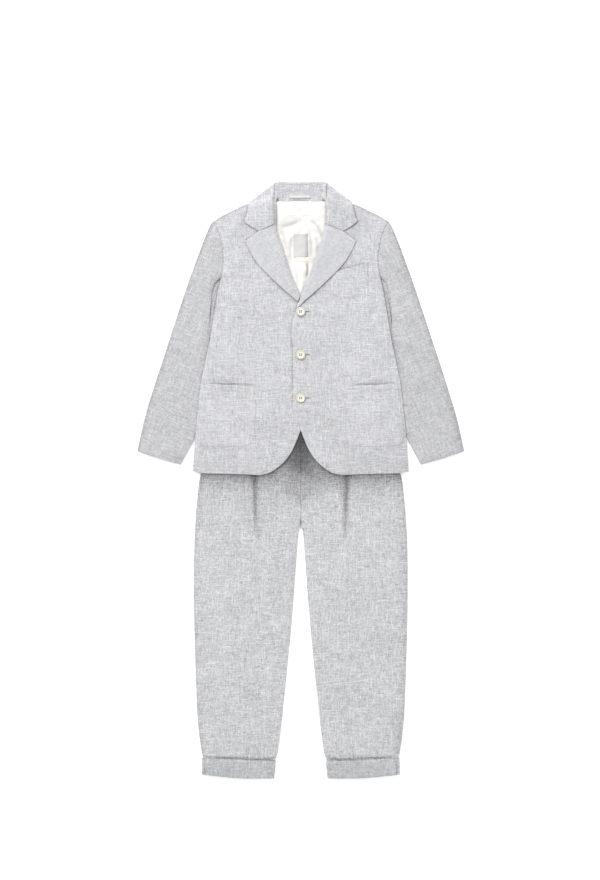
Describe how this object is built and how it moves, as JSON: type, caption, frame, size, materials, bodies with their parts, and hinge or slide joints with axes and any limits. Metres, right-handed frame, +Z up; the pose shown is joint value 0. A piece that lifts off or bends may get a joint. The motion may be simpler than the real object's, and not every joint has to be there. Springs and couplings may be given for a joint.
{
  "type": "child's linen suit",
  "caption": "Child's linen suit laid flat: a notched-lapel jacket with patch pockets, buttoned over pleated trousers with turn-ups, their waist inside the jacket.",
  "frame": {"origin": "on the surface that the suit lies on, under the middle of the suit's outline", "axes": "+X across the suit towards the wearer's left, +Y along the suit from the turn-ups to the collar, +Z up from the surface, out of the fronts"},
  "size_m": [0.675, 1.2339, 0.0191],
  "materials": {
    "linen": "plain-weave linen, light grey melange",
    "lining": "cream satin",
    "label": "plain woven label, left blank",
    "button": "pearly"
  },
  "bodies": {
    "root": {"back_lining": "lining", "breast_pocket": "linen", "button_1": "button", "button_2": "button", "button_3": "button", "collar_fall": "linen", "collar_stand": "linen", "hanger_loop": "lining", "hip_pocket_left": "linen", "hip_pocket_right": "linen", "jacket_back": "linen", "jacket_front_left": "linen", "jacket_front_right": "linen", "label": "label", "lapel_left": "linen", "lapel_right": "linen", "top_sleeve_left": "linen", "top_sleeve_right": "linen", "trouser_back_left": "linen", "trouser_back_right": "linen", "trouser_front_left": "linen", "trouser_front_right": "linen", "turn_up_back_left": "linen", "turn_up_back_right": "linen", "turn_up_front_left": "linen", "turn_up_front_right": "linen", "under_sleeve_left": "linen", "under_sleeve_right": "linen", "waistband_back": "linen", "waistband_front": "linen"}
  },
  "joints": []
}
